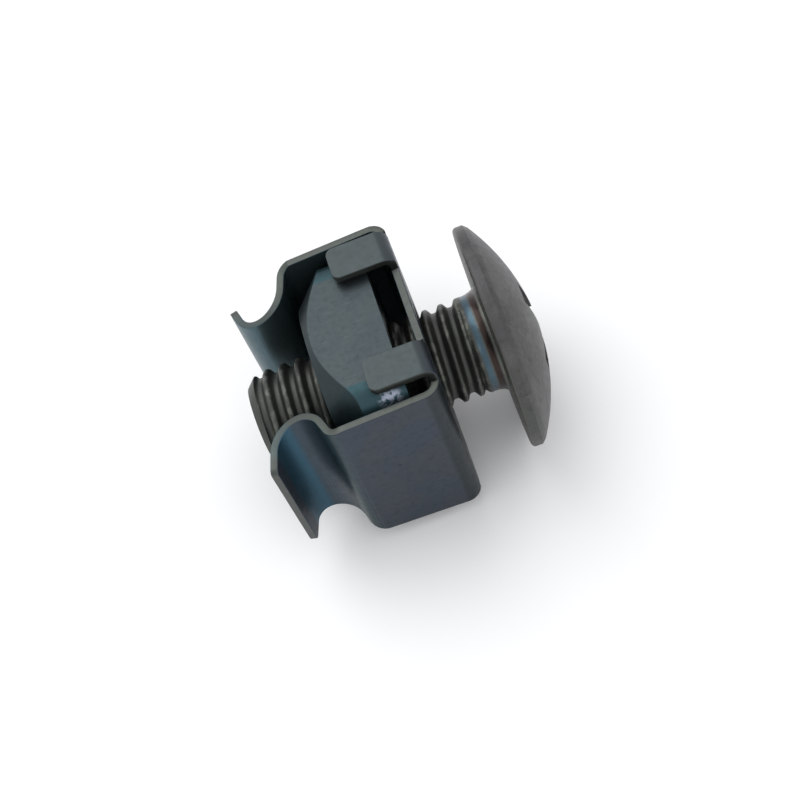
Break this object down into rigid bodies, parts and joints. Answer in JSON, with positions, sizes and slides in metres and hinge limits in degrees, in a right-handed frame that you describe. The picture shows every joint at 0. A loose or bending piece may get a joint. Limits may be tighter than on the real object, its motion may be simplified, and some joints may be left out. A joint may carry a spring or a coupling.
{
  "type": "rack cage nut",
  "caption": "Bent spring-steel cage that clips into a square panel hole and holds a floating square nut, with its truss-head machine screw.",
  "frame": {"origin": "on the screw's axis, in the middle plane of the panel that the wings' grooves clip on to", "axes": "+X along the screw towards its head, +Y from the lower wall of the cage to the upper one, +Z across the strip"},
  "size_m": [0.0174, 0.0138, 0.0138],
  "materials": {
    "cage_zinc": "satin",
    "nut_zinc": "satin",
    "screw_zinc": "satin"
  },
  "bodies": {
    "cage": {"cage": "cage_zinc"},
    "screw": {"screw": "screw_zinc"},
    "nut": {"square_nut": "nut_zinc"}
  },
  "joints": [
    {"name": "nut_float", "type": "slide", "parent": "cage", "child": "nut", "axis": [1, 0, 0], "range_m": [0, 0.0012]},
    {"name": "screw_turn", "type": "hinge", "parent": "nut", "child": "screw", "pos_m": [0, 0, 0], "axis": [-1, 0, 0], "continuous": true}
  ]
}
